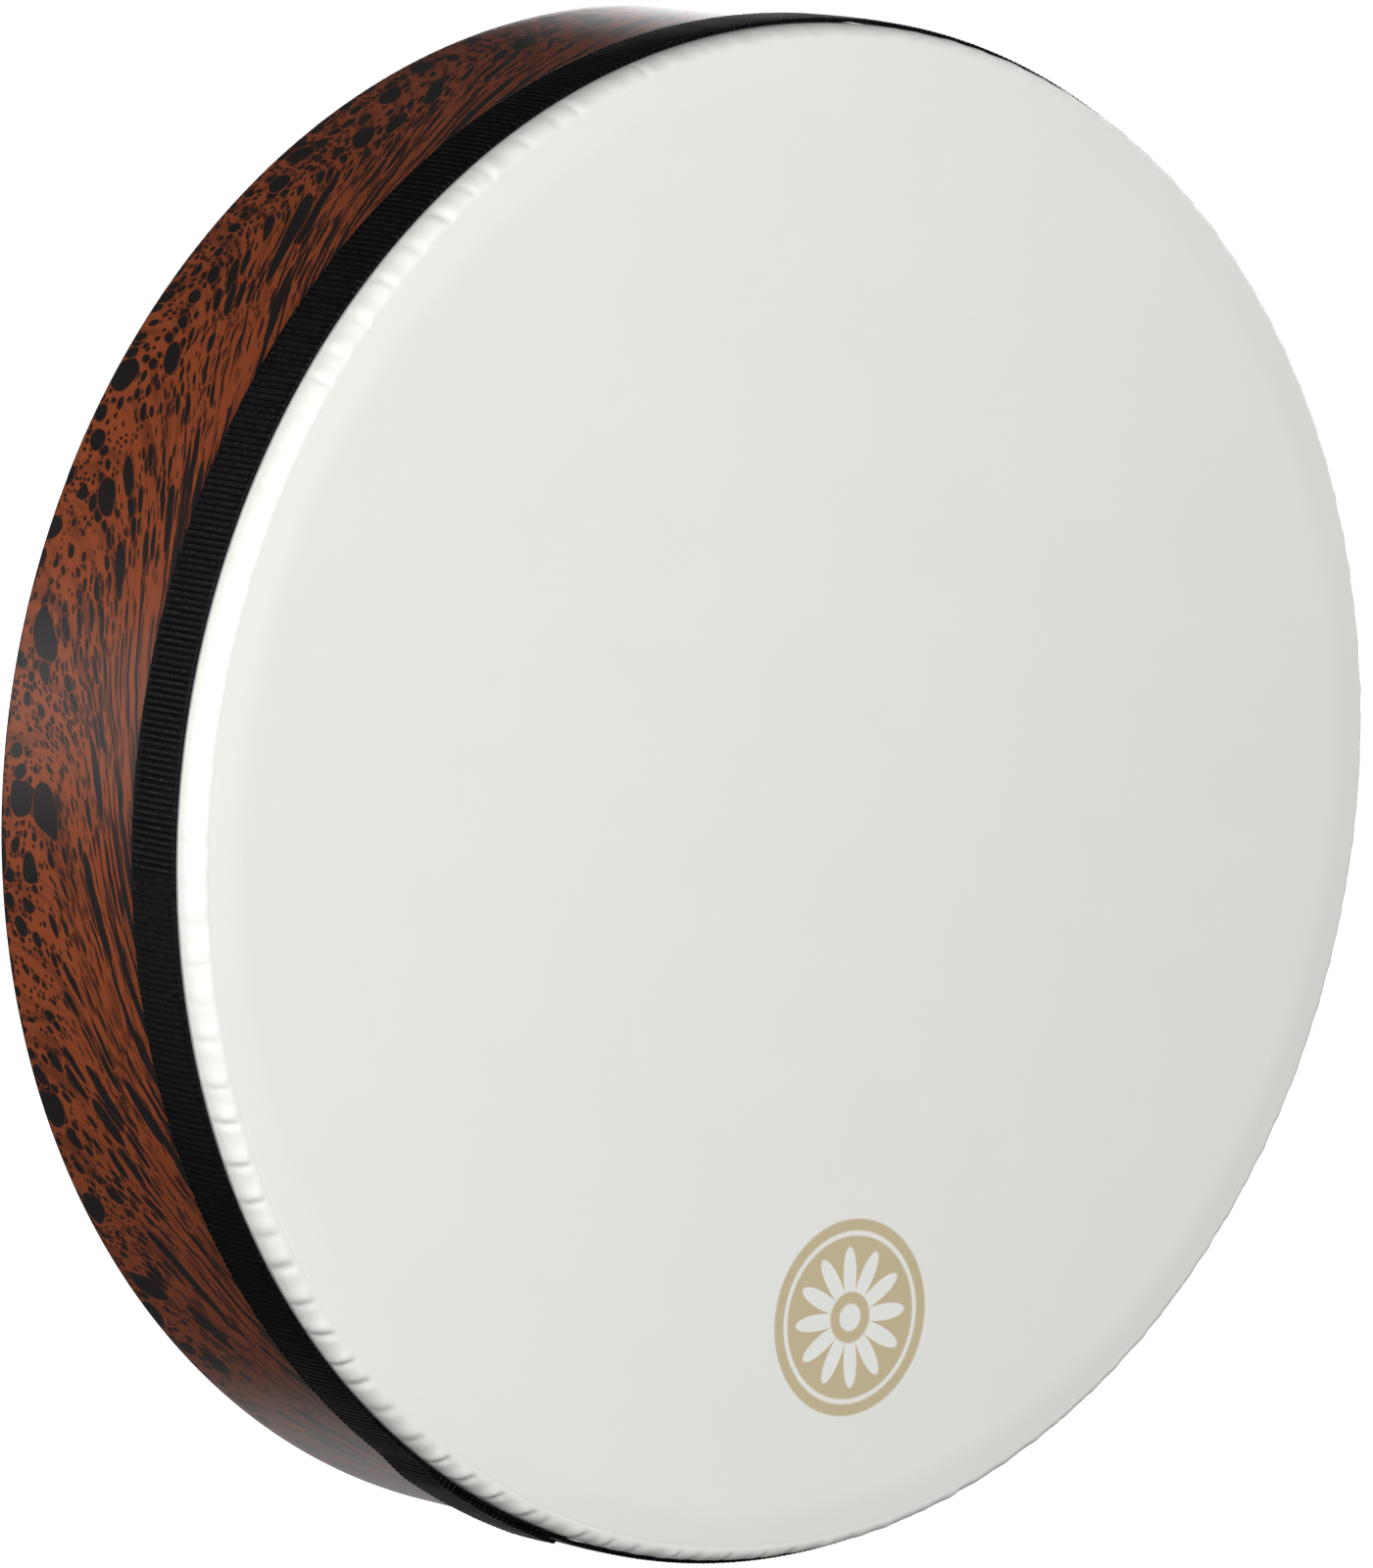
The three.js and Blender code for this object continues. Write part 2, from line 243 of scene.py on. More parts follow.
def radius_of(add, x, z):
    """How far a point lies from an axis."""
    across = add("Math", x, x, operation="MULTIPLY")
    up = add("Math", z, z, operation="MULTIPLY")
    return add("Math", add("Math", across, up, operation="ADD"), operation="SQRT")


def add_eyes(add, figure_space, depth, spacing, sizes, crowding, seed):
    """How far inside one of the burl's eyes a point lies, in millimetres.

    The sizes are the smallest and largest radius as shares of the spacing, and the crowding is the share of
    cells that hold an eye, in bare places and in crowded ones.
    """
    moved = add("VectorMath", figure_space, (seed * 37.0, seed * 11.0, seed * 5.0), operation="ADD")
    cells = {"Vector": moved, "Scale": 1 / spacing, "Randomness": 0.85, "voronoi_dimensions": "2D"}
    from_middle = add("TexVoronoi", **cells)
    edge = add("TexVoronoi", feature="DISTANCE_TO_EDGE", **cells)
    chosen = add("SeparateColor", from_middle.node.outputs["Color"])
    crowd = add("TexNoise", moved, 0.02, 1.0)
    chance = add("MapRange", crowd, 0.38, 0.62, *crowding)
    thinned = add("MapRange", depth, 38.0, 62.0, 1.0, 0.6)  # fewer eyes towards the webbing
    chance = add("Math", chance, thinned, operation="MULTIPLY")
    chance = add("Math", 1.0, chance, operation="SUBTRACT")
    size = add("Math", chosen, chance, operation="SUBTRACT")
    radius = add("MapRange", size, 0.0, 0.8, sizes[0] * spacing, sizes[1] * spacing)
    present = add("Math", size, 0.0, operation="GREATER_THAN")
    # A cell without an eye has a radius of minus its spacing, so no point lies inside it.
    radius = add("Math", radius, spacing, operation="ADD")
    radius = add("Math", present, radius, -spacing, operation="MULTIPLY_ADD")
    away = add("Math", from_middle, spacing, operation="MULTIPLY")
    inside = add("Math", radius, away, operation="SUBTRACT")
    gap = 0.2  # millimetres kept clear at a cell's edge
    from_edge = add("Math", edge, spacing, -gap, operation="MULTIPLY_ADD")
    return add("Math", inside, from_edge, 0.12 * spacing, operation="SMOOTH_MIN")


def burl_laminate(sizes, colours):
    """Burl-figured laminate, printed and lacquered satin: round dark eyes on orange-brown near the back rim,
    drawn out into long thin streaks towards the webbing, under a soft broad sheen."""
    material, add, principled = new_material(
        "lacquered_burl_laminate", Roughness=0.35, IOR=1.5, Specular_IOR_Level=0.35
    )
    x, z, depth = drum_coordinates(add)
    along = round_drum(add, x, z, SHELL_R / MM)
    flat = add("CombineXYZ", along, depth, 0.0)

    # The figure flows: it is dragged round the drum, more and more towards the webbing.
    past_rim = add("Math", add("Math", depth, 10.0, operation="SUBTRACT"), 0.0, operation="MAXIMUM")
    drag = add("Math", add("Math", past_rim, 2.0, operation="POWER"), 0.03, operation="MULTIPLY")
    uneven = add("MapRange", add("TexNoise", flat, 0.006, 1.0), 0.3, 0.7, 0.75, 1.25)
    drag = add("Math", drag, uneven, operation="MULTIPLY")
    figure_space = add("CombineXYZ", add("Math", along, drag, operation="ADD"), depth, 0.0)
    # Broad swirls and small ripples: pattern scale, its detail and roughness, and reach in millimetres.
    for scale, detail, roughness, reach in ((0.02, 1.0, 0.4, (22, 16, 0)), (0.11, 0.0, 0.5, (3.0, 2.4, 0))):
        turned_by = add("TexNoise", flat, scale, detail, roughness, out="Color")
        turned_by = add("VectorMath", turned_by, (0.5, 0.5, 0.5), operation="SUBTRACT")
        figure_space = add("VectorMath", turned_by, reach, figure_space, operation="MULTIPLY_ADD")

    cell = sizes.burl_cell / MM
    inside = add_eyes(add, figure_space, depth, cell, (0.2, 0.56), (0.2, 0.58), 1)
    for share, seed, crowding in ((0.53, 2, (0.25, 0.62)), (0.28, 3, (0.35, 0.72)), (0.14, 4, (0.25, 0.7))):
        more = add_eyes(add, figure_space, depth, cell * share, (0.18, 0.48), crowding, seed)
        # Smaller eyes keep clear of larger ones, with a thin line of the ground between.
        clear = add("Math", -0.55, inside, operation="SUBTRACT")
        more = add("Math", more, clear, 0.3, operation="SMOOTH_MIN")
        inside = add("Math", inside, more, operation="MAXIMUM")

    # Long streaks that follow the drag, fading in towards the webbing.
    drawn = add("VectorMath", figure_space, (1.0, 0.22, 1.0), operation="MULTIPLY")
    threads = add("TexNoise", drawn, 0.2)
    shaded = add("MapRange", threads, 0.45, 0.7, 0.0, 0.7, interpolation_type="SMOOTHSTEP")
    ground = add("Mix", shaded, colours.burl_ground, colours.burl_shade, data_type="RGBA")
    streak = add("MapRange", depth, 20.0, 60.0, -2.2, -0.85)
    streak = add("Math", streak, add("MapRange", threads, 0.35, 0.75, 0.0, 1.9), operation="ADD")
    streak = add("Math", streak, 1.6, operation="MULTIPLY")
    inside = add("Math", inside, streak, 0.3, operation="SMOOTH_MAX")
    pores = add("MapRange", add("TexNoise", drawn, 1.1, 2.0, 0.7), 0.62, 0.75, 0.0, 0.55)
    ground = add("Mix", pores, ground, colours.burl_shade, data_type="RGBA")

    # An eye goes from the ground through dark brown to charcoal, and the back rim's edge is darkened.
    eye = add("MapRange", inside, -0.32, 0.3)
    figure = ground
    for low, high, colour in ((0.0, 0.5, shade(colours.burl_shade, 0.45)), (0.45, 0.8, colours.burl_eye)):
        share = add("MapRange", eye, low, high, interpolation_type="SMOOTHSTEP")
        figure = add("Mix", share, figure, colour, data_type="RGBA")
    rim = add("MapRange", depth, 2.2, 1.2)
    figure = add("Mix", rim, figure, shade(colours.burl_eye, 0.6), data_type="RGBA")
    waves = add("Bump", Height=add("TexNoise", flat, 0.25, 1.0), Strength=0.04, Distance=0.3 * MM)
    fill(principled, Base_Color=figure, Normal=waves)
    return material


def stained_hoop_wood(colours):
    """Rotary-cut hardwood ply, stained dark and sealed thin: fine grain lines that run round the hoop."""
    material, add, principled = new_material("stained_hoop_ply", Roughness=0.5, IOR=1.5)
    x, z, depth = drum_coordinates(add)
    along = round_drum(add, x, z, SHELL_R / MM)
    stretched = add("Math", along, 0.03, operation="MULTIPLY")
    grain_space = add("CombineXYZ", stretched, depth, 0.0)
    broad = add("TexNoise", grain_space, 0.12)
    fine = add("TexNoise", grain_space, 0.9, 4.0, 0.65)
    grain = add("Math", broad, 0.6, add("Math", fine, 0.4, operation="MULTIPLY"), operation="MULTIPLY_ADD")
    dark, light = shade(colours.inner_wood, 0.45), shade(colours.inner_wood, 1.5)
    wood = add("ValToRGB", grain, stops=[(0.36, dark), (0.5, colours.inner_wood), (0.64, light)])
    pores = add("Bump", Height=fine, Strength=0.25, Distance=0.15 * MM)
    fill(principled, Base_Color=wood, Normal=pores)
    return material


def coated_film(sizes, colours):
    """Polyester film with a sprayed white coating: matt, very slightly mottled and finely grained. The print
    is tan ink with a plain rosette left open in it."""
    material, add, principled = new_material(
        "coated_polyester_film", Roughness=0.5, IOR=1.5, Specular_IOR_Level=0.35
    )
    x, z, depth = drum_coordinates(add)
    spot = add("CombineXYZ", x, z, depth)
    speck = add("TexNoise", spot, 0.8, 2.0, 0.6)
    mottled = add("MapRange", add("TexNoise", spot, 0.035, 3.0, 0.55), 0.3, 0.7, 0.0, 0.5)
    film = add("Mix", mottled, colours.film, shade(colours.film, 0.97), data_type="RGBA")
    speckled = add("MapRange", speck, 0.35, 0.75, 0.0, 0.25)
    film = add("Mix", speckled, film, shade(colours.film, 0.95), data_type="RGBA")

    # The rosette: a ring, petals between two circles and a round eye, all left open in the ink.
    across = add("Math", x, sizes.print_x / MM, operation="SUBTRACT")
    up = add("Math", z, sizes.print_drop / MM, operation="ADD")
    radius = add("Math", radius_of(add, across, up), sizes.print_radius / MM, operation="DIVIDE")
    turn = add("Math", up, across, operation="ARCTAN2")
    turn = add("Math", turn, sizes.print_petals / 2, operation="MULTIPLY")
    petal = add("Math", add("Math", turn, operation="COSINE"), operation="ABSOLUTE")
    edge = 0.012  # softness of the ink's edge, as a share of the print's radius

    def within(limit):
        return add("MapRange", add("Math", limit, radius, operation="SUBTRACT"), -edge, edge)

    ring_outer, ring_inner, petal_foot, eye = 0.88, 0.83, 0.26, 0.14
    ring = add("Math", within(ring_outer), within(ring_inner), operation="SUBTRACT")
    # A petal is wide where its own share of the radius is small and closes at its tip.
    tip = add("Math", petal, 0.46, petal_foot, operation="MULTIPLY_ADD")
    petals = add("Math", within(tip), within(petal_foot), operation="SUBTRACT")
    petals = add("Math", petals, 0.0, operation="MAXIMUM")
    open_part = add("Math", add("Math", ring, petals, operation="MAXIMUM"), within(eye), operation="MAXIMUM")
    closed = add("Math", 1.0, open_part, operation="SUBTRACT", use_clamp=True)
    ink = add("Math", within(1.0), closed, operation="MULTIPLY", use_clamp=True)
    # The ink lies on the front only, where the film faces out.
    facing = add("SeparateXYZ", add("TexCoord", out="Normal"), out="Y")
    ink = add("Math", ink, add("MapRange", facing, -0.2, -0.6), operation="MULTIPLY")
    printed = add("Mix", ink, film, colours.print_ink, data_type="RGBA")
    grain = add("Bump", Height=speck, Strength=0.08, Distance=0.1 * MM)
    fill(principled, Base_Color=printed, Normal=grain)
    return material


def woven_webbing(sizes, colours):
    """Black polyester webbing, woven with raised ribs across it: the yarn's fine twist breaks up a low sheen,
    and short dashes of painted highlight on the tops of the ribs stand in for the glints they catch."""
    material, add, principled = new_material(
        "ribbed_polyester_webbing", Roughness=0.42, IOR=1.5, Specular_IOR_Level=0.07
    )
    x, z, depth = drum_coordinates(add)
    along = round_drum(add, x, z, SHELL_R / MM)
    yarn_space = add("CombineXYZ", along, depth, 0.0)
    yarn = add(
        "TexWave", yarn_space, 0.5, 1.2, 2.0, 1.5, out="Fac", wave_type="BANDS", bands_direction="Y"
    )
    lint = add("TexNoise", yarn_space, 0.6, 3.0, 0.7)
    tone = add("Math", yarn, 0.35, add("Math", lint, 0.65, operation="MULTIPLY"), operation="MULTIPLY_ADD")
    # Black and worn are tones of the yarn; light is the colour of the painted highlight on the rib tops.
    black, worn, light = (shade(colours.webbing, share) for share in (0.55, 2.1, 14))
    body = add("ValToRGB", tone, stops=[(0.25, black), (0.5, colours.webbing), (0.8, worn)])
    sweep = 2 * math.pi + LAP_SWEEP
    ribs = round(sweep * BAND_R / sizes.rib_pitch)
    turn = add("Math", z, x, operation="ARCTAN2")
    turn = add("Math", turn, LAP_END - LAP_SWEEP - 2 * math.pi, operation="SUBTRACT")
    rib = add("Math", add("Math", turn, ribs / sweep, operation="MULTIPLY"), 0.5, operation="PINGPONG")
    # Painted highlight: short light dashes on the rib tops, mixed into the colour where the ribs would glint.
    tops = add("MapRange", rib, 0.3, 0.45)
    painted_glint_dashes = add("Math", tops, add("MapRange", lint, 0.4, 0.62), operation="MULTIPLY")
    lit = add("Mix", painted_glint_dashes, body, light, data_type="RGBA")
    twist = add("Bump", Height=tone, Strength=0.8, Distance=0.2 * MM)
    fill(principled, Base_Color=lit, Normal=twist)
    return material


def lacquered_maple(colours):
    """Maple ply hoop, turned and lacquered: pale grain round the ring, with thin dark glue lines."""
    material, add, principled = new_material("lacquered_maple_ply", Roughness=0.35, IOR=1.5, Coat_Weight=0.3)
    x, z, depth = drum_coordinates(add)
    radius = radius_of(add, x, z)
    grain = add("TexNoise", add("CombineXYZ", round_drum(add, x, z, 6.0), depth, radius), 0.7, 4.0, 0.6)
    wood = add("ValToRGB", grain, stops=[(0.35, shade(colours.maple, 0.62)), (0.6, colours.maple)])
    ply_thickness = 1.6
    ply = add("Math", add("Math", radius, ply_thickness, operation="DIVIDE"), operation="FRACT")
    glue = add("Math", add("MapRange", ply, 0.1, 0.04), 0.5, operation="MULTIPLY")
    wood = add("Mix", glue, wood, shade(colours.maple, 0.3), data_type="RGBA")
    pores = add("Bump", Height=grain, Strength=0.1, Distance=0.1 * MM)
    fill(principled, Base_Color=wood, Normal=pores)
    return material


def powder_coated_casting(colours):
    """Die-cast zinc, powder coated black: a dense, slightly pebbled skin with a soft shine."""
    material, add, principled = new_material("powder_coated_casting", Roughness=0.45, IOR=1.5)
    spot = add("CombineXYZ", *drum_coordinates(add))
    pebble = add("TexNoise", spot, 1.6)
    tone = add("MapRange", pebble, 0.35, 0.65)
    coat = add("Mix", tone, colours.powder, shade(colours.powder, 1.5), data_type="RGBA")
    skin = add("Bump", Height=pebble, Strength=0.35, Distance=0.15 * MM)
    fill(principled, Base_Color=coat, Normal=skin)
    return material


def zinc_plated_steel(colours):
    """Steel, machined and zinc plated: bright and slightly blue, clouded by the plating."""
    material, add, principled = new_material("zinc_plated_steel", Metallic=1.0)
    spot = add("CombineXYZ", *drum_coordinates(add))
    cloud = add("TexNoise", spot, 0.9, 3.0)
    plating = add("ValToRGB", cloud, stops=[(0.3, colours.zinc_shade), (0.7, colours.zinc)])
    fill(principled, Base_Color=plating, Roughness=add("MapRange", cloud, 0.3, 0.7, 0.22, 0.38))
    return material


def moulded_nylon(colours):
    """Natural nylon, injection moulded: off-white, smooth and waxy, with light going a little way in."""
    material, add, principled = new_material(
        "moulded_nylon", Roughness=0.4, IOR=1.53, Subsurface_Weight=0.25, Subsurface_Scale=1.5 * MM
    )
    spot = add("CombineXYZ", *drum_coordinates(add))
    cloud = add("TexNoise", spot, 0.7)
    nylon = add("Mix", cloud, colours.nylon, shade(colours.nylon, 0.86), data_type="RGBA")
    fill(principled, Base_Color=nylon)
    return material


def light_table(colours):
    """Opal acrylic light table, lit from below: almost white, so the drum's foot has only a soft shadow."""
    material, add, principled = new_material(
        "opal_acrylic_table", Roughness=0.8, Specular_IOR_Level=0.2,
        Emission_Color=(1, 1, 1), Emission_Strength=0.97,
    )
    cloud = add("TexNoise", add("TexCoord", out="Object"), 1.5)
    acrylic = add("Mix", cloud, colours.floor, shade(colours.floor, 0.98), data_type="RGBA")
    fill(principled, Base_Color=acrylic)
    return material


# ---- mesh work ----
def new_piece(name, vertices, faces, *materials):
    """A smooth-shaded mesh object in the frame's own coordinates."""
    mesh = bpy.data.meshes.new(name)
    mesh.from_pydata([tuple(v) for v in vertices], [], faces)
    mesh.validate()
    for material in materials:
        mesh.materials.append(material)
    mesh.polygons.foreach_set("use_smooth", [True] * len(mesh.polygons))
    mesh.update()
    piece = bpy.data.objects.new(name, mesh)
    bpy.context.scene.collection.objects.link(piece)
    return piece


def all_round(turns):
    """Equal angles round an axis, as a column."""
    return np.linspace(0, 2 * math.pi, turns, endpoint=False)[:, None]


def around(radius, angle, depth, axis=(0, 0, AXIS_Z)):
    """Points about an axis along the drum's depth, from radius, angle from +X towards +Z, and depth."""
    across = axis[0] + radius * np.cos(angle)
    up = axis[2] + radius * np.sin(angle)
    return np.stack([across, BACK_Y - depth + 0 * angle, up], axis=-1)


def grid_faces(turns, rows, close_turns=True, close_rows=True):
    """Quads of a grid of points that are numbered turn by turn."""
    faces = []
    for i in range(turns if close_turns else turns - 1):
        following = (i + 1) % turns
        for j in range(rows if close_rows else rows - 1):
            above = (j + 1) % rows
            faces.append((i * rows + j, i * rows + above, following * rows + above, following * rows + j))
    return faces


def close_end(points, faces, centre, row, rows, turns):
    """Closes an end of a turned grid of points with a fan of triangles about its centre."""
    points.append(centre)
    middle = len(points) - 1
    faces += [(middle, i * rows + row, (i + 1) % turns * rows + row) for i in range(turns)]


def face_out(piece):
    """Makes a closed piece's faces point out, and marks sharp edges."""
    work = bmesh.new()
    work.from_mesh(piece.data)
    bmesh.ops.recalc_face_normals(work, faces=work.faces)
    for edge in work.edges:
        if len(edge.link_faces) == 2 and edge.calc_face_angle(0) > SMOOTH_LIMIT:
            edge.smooth = False
    work.to_mesh(piece.data)
    work.free()
    return piece


def arc(radius, depth, size, start, end, steps):
    """Points of a round corner in the radius and depth plane, from one angle in degrees to another."""
    turn = np.radians(np.linspace(start, end, steps + 1))
    return [(radius + size * math.cos(a), depth + size * math.sin(a)) for a in turn]


def turned(name, profile, turns, *materials):
    """A closed profile of (radius, depth) turned about the drum's axis."""
    radius, depth = np.array(profile).T
    points = around(radius, all_round(turns), depth)
    return face_out(new_piece(name, points.reshape(-1, 3), grid_faces(turns, len(profile)), *materials))


def spun(name, profile, axis, turns, *materials):
    """A profile of (radius, depth) that starts and ends on its own axis, along the drum's depth."""
    radius, depth = np.array(profile[1:-1]).T
    rows = len(radius)
    points = around(radius, all_round(turns), depth, axis).reshape(-1, 3).tolist()
    faces = grid_faces(turns, rows, close_rows=False)
    for end, row in ((profile[0], 0), (profile[-1], rows - 1)):
        close_end(points, faces, (axis[0], BACK_Y - end[1], axis[2]), row, rows, turns)
    return face_out(new_piece(name, points, faces, *materials))


def station(angle):
    """The turn about the drum's axis that takes a piece from +X to its own angle."""
    return Matrix.Translation((0, 0, AXIS_Z)) @ Matrix.Rotation(-angle, 4, "Y")


# ---- operators ----
class DRUM_OT_shell(bpy.types.Operator):
    """Bend the shell's hoop, with its burl laminate outside and stained ply inside"""

    bl_idname = "drum.shell"
    bl_label = "Shell"

    def execute(self, context):
        sizes, colours = context.scene.drum_sizes, context.scene.drum_colours
        inner = SHELL_R - SHELL_WALL
        chamfer = 1 * MM  # of the inner front corner
        wall = [(inner, depth) for depth in np.linspace(SHELL_D - chamfer, RIM_ROUND, 12)]
        outside = [(SHELL_R, depth) for depth in np.linspace(RIM_ROUND, SHELL_D - HIDDEN_REACH, 16)[1:-1]]
        corner = [
            (SHELL_R - HIDDEN_ROUND * (1 - across), SHELL_D - HIDDEN_REACH * (1 - along))
            for across, along in arc(0, 0, 1, 0, 90, 10)
        ]
        profile = (
            wall
            + arc(inner + RIM_ROUND, RIM_ROUND, RIM_ROUND, 180, 270, 6)[1:]
            + arc(SHELL_R - RIM_ROUND, RIM_ROUND, RIM_ROUND, 270, 360, 6)
            + outside
            + corner
            + [(inner + chamfer, SHELL_D)]
        )
        shell = turned("shell_hoop", profile, 720, burl_laminate(sizes, colours), stained_hoop_wood(colours))
        middle = SHELL_R - 2 * RIM_ROUND
        inside = [
            int(math.hypot(face.center.x, face.center.z - AXIS_Z) < middle) for face in shell.data.polygons
        ]
        shell.data.polygons.foreach_set("material_index", inside)
        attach(shell, "shell")
        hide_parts("shell")
        return {"FINISHED"}


def pleat_heights(angle, sizes, spread):
    """Height of the film's pleats round the drum, in metres; the spread slants each pleat from row to row."""
    chance = np.random.default_rng(18)
    count = round(2 * math.pi * SHELL_R / sizes.pleat_spacing)
    places = (np.arange(count) + chance.uniform(-0.26, 0.26, count)) / count * 2 * math.pi
    # The film was pulled harder at the lower left and upper left, so the pleats are stronger there.
    lower_left = np.exp(-(((places - PULL_ANGLE) / 0.6) ** 2))
    upper_left = np.exp(-(((places - math.radians(128)) / 0.4) ** 2))
    pull = 0.2 + 0.8 * lower_left + 0.5 * upper_left
    strength = pull * chance.uniform(0.45, 1.1, count)
    slant = chance.uniform(-0.5, 0.9, count) * MM
    width = chance.uniform(1.2, 2.1, count) * MM
    height = np.zeros(np.broadcast(angle, spread).shape)
    for place, strong, lean, wide in zip(places, strength, slant, width):
        away = (angle - place + math.pi) % (2 * math.pi) - math.pi
        near = np.abs(away[:, 0]) < 0.06  # radians, within which a pleat shows
        gap = away[near] * SHELL_R + lean * spread
        fold = 0.6 * np.exp(-(((gap + 2.0 * wide) / (1.7 * wide)) ** 2)) - np.exp(-((gap / wide) ** 2))
        height[near] += strong * fold
    # Between the pleats the film stands off a little, unevenly.
    puff = 0.14 * np.cos(angle * count) + 0.1 * np.sin(angle * 37 + 1) * np.sin(angle * 23)
    return sizes.pleat_depth * (height + puff)


class DRUM_OT_head(bpy.types.Operator):
    """Stretch the film head over the ring and turn it over the shell's edge in small pleats"""

    bl_idname = "drum.head"
    bl_label = "Drumhead"

    def execute(self, context):
        sizes, colours = context.scene.drum_sizes, context.scene.drum_colours
        crest = RING_R - RING_WALL / 2
        # The film's roll over the shell's edge is a quarter of an ellipse, deeper than it is wide.
        roll = SKIRT_R - (SHELL_R - FRONT_ROUND)
        centre_r, centre_d = SHELL_R - FRONT_ROUND, SHELL_D + roll - FRONT_ROUND - ROLL_DEPTH
        fall = math.tan(HEAD_SLOPE)
        over = [
            (centre_r + roll * math.cos(a), centre_d + ROLL_DEPTH * math.sin(a))
            for a in np.linspace(math.atan2(ROLL_DEPTH, roll * fall), 0, 17)
        ]
        start = over[0]

        # Rows run out from the middle, over the shell's edge and down under the webbing.
        flat = [(share * crest, DEPTH) for share in (0.15, 0.3, 0.45, 0.6, 0.75, 0.85, 0.92, 0.96)]
        over_nose = ((-3.6, 0), (-1.2, 0.03), (0.6, 0.16))  # across the ring's nose and down, in millimetres
        bearing = [(crest + across * MM, DEPTH - drop * MM) for across, drop in over_nose]
        slope = [
            (crest + (start[0] - crest) * s, DEPTH + (start[1] - DEPTH) * s)
            for s in (0.3, 0.5, 0.68, 0.82)
        ]
        line = [(start[0] - short * MM, start[1] + short * fall * MM) for short in (1.1, 0.5, 0.1)]
        down = [(SKIRT_R, centre_d - far * MM) for far in (0.7, 1.4, 2.2, 3.0, 4.0, 6.0, 10.0)]
        down.append((SKIRT_R, SKIRT_D))
        profile = np.array(flat + bearing + slope + line + over + down)
        pleated = np.zeros(len(profile))
        first = len(flat + bearing + slope + line)
        turn = np.linspace(0, 1, len(over))
        pleated[first : first + len(over)] = np.interp(turn, (0, 0.1, 0.35, 0.7, 1), (0, 0.25, 1, 0.8, 0.45))
        below = (centre_d - np.array([depth for radius, depth in down])) / MM
        pleated[first + len(over) :] = np.interp(below, (0, 2.0, 4.0, 6.0), (0.45, 0.27, 0.1, 0.0))
        spread = np.zeros(len(profile))
        spread[first : first + len(over)] = turn * 2 - 1
        spread[first + len(over) :] = 1

        direction = np.gradient(profile, axis=0)
        normal = np.stack([-direction[:, 1], direction[:, 0]], axis=1)
        normal /= np.linalg.norm(normal, axis=1)[:, None]
        turns = 2880
        angle = all_round(turns)
        height = pleat_heights(angle, sizes, spread[None, :]) * pleated[None, :]
        # The film is pressed in along the shell's edge, where it was pulled hardest.
        away = (angle - PULL_ANGLE + math.pi) % (2 * math.pi) - math.pi
        pressed = 0.08 + 0.92 * np.exp(-((away[:, 0] / 0.7) ** 2))
        height[:, first - 2] -= 0.2 * MM * pressed
        tallest = 0.6 * MM
        height = np.minimum(height, tallest)
        # Outside, the pleats show in full. Underneath, the film keeps its thickness and rests on the shell.
        layers = []
        for drop in (0.0, sizes.film_thickness):
            radius = profile[:, 0] + normal[:, 0] * (height - drop)
            depth = profile[:, 1] + normal[:, 1] * (height - drop)
            layers.append(around(radius, angle, depth))
        points = np.concatenate([layers[0], layers[1][:, ::-1]], axis=1)
        rows = points.shape[1]
        faces = grid_faces(turns, rows, close_rows=False)
        vertices = points.reshape(-1, 3).tolist()
        for row, depth in ((0, DEPTH), (rows - 1, DEPTH - sizes.film_thickness)):
            close_end(vertices, faces, (0, BACK_Y - depth, AXIS_Z), row, rows, turns)
        head = face_out(new_piece("drumhead", vertices, faces, coated_film(sizes, colours)))
        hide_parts("head_membrane", "head_skirt")
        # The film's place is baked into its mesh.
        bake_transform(head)
        return {"FINISHED"}


